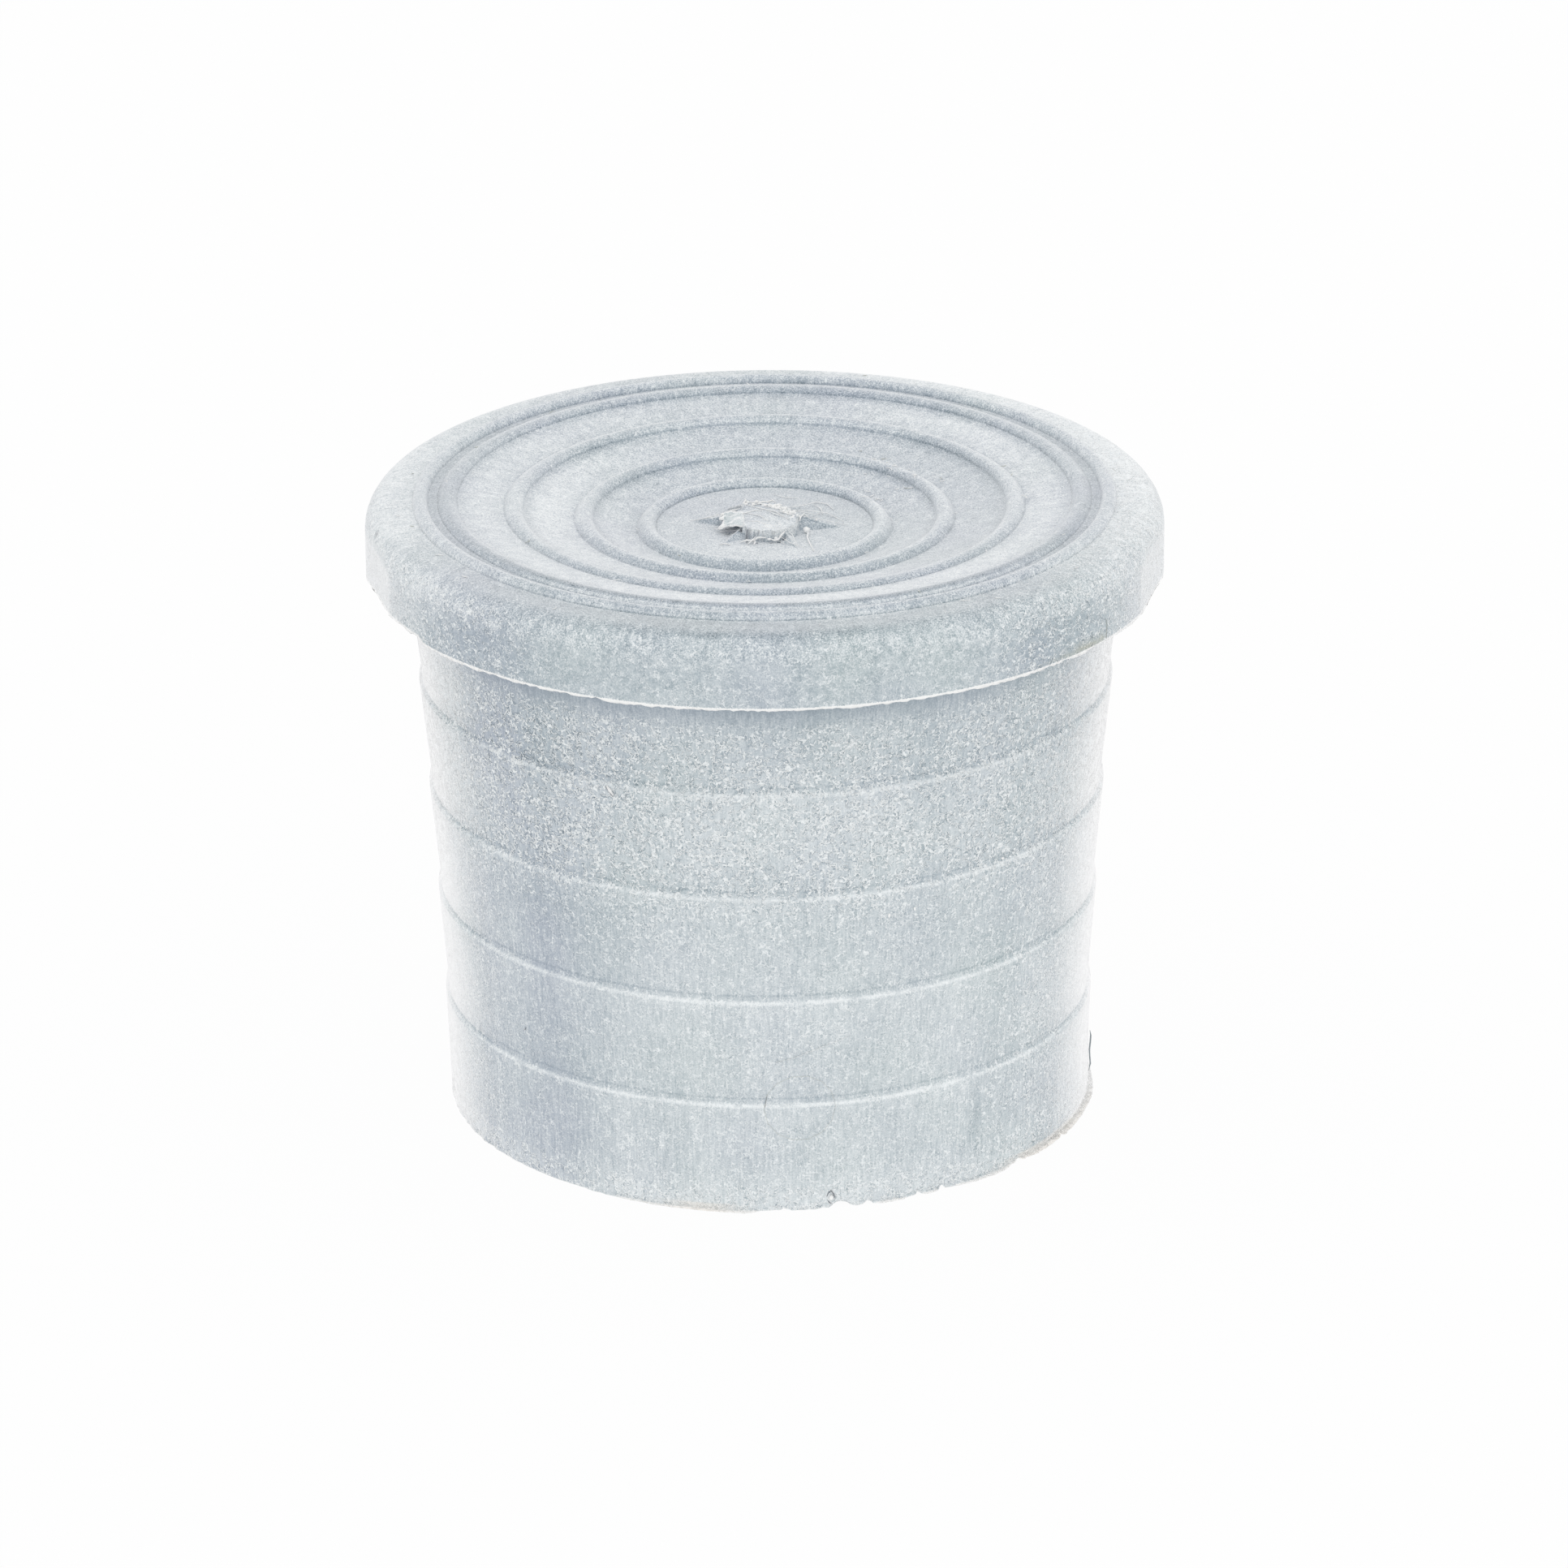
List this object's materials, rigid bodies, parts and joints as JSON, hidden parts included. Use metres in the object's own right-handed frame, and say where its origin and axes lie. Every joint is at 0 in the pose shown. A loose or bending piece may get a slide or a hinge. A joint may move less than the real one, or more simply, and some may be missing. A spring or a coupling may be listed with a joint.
{
  "type": "rubber stopper",
  "caption": "Solid grey rubber stopper: a tapered plug with fine steps in its side, under a wider head with a shallow dish, concentric beads and a torn gate stub.",
  "frame": {"origin": "centre of the flat lower end of the plug, on the stopper's axis", "axes": "+Z along the axis, from the plug's lower end to the head; -Y is the front, with a rim flat left and right of it"},
  "size_m": [0.0355, 0.0355, 0.0286],
  "materials": {
    "rubber": "pale grey moulded rubber, matt, with a bloom of white powder"
  },
  "bodies": {
    "root": {"stopper": "rubber"}
  },
  "joints": []
}
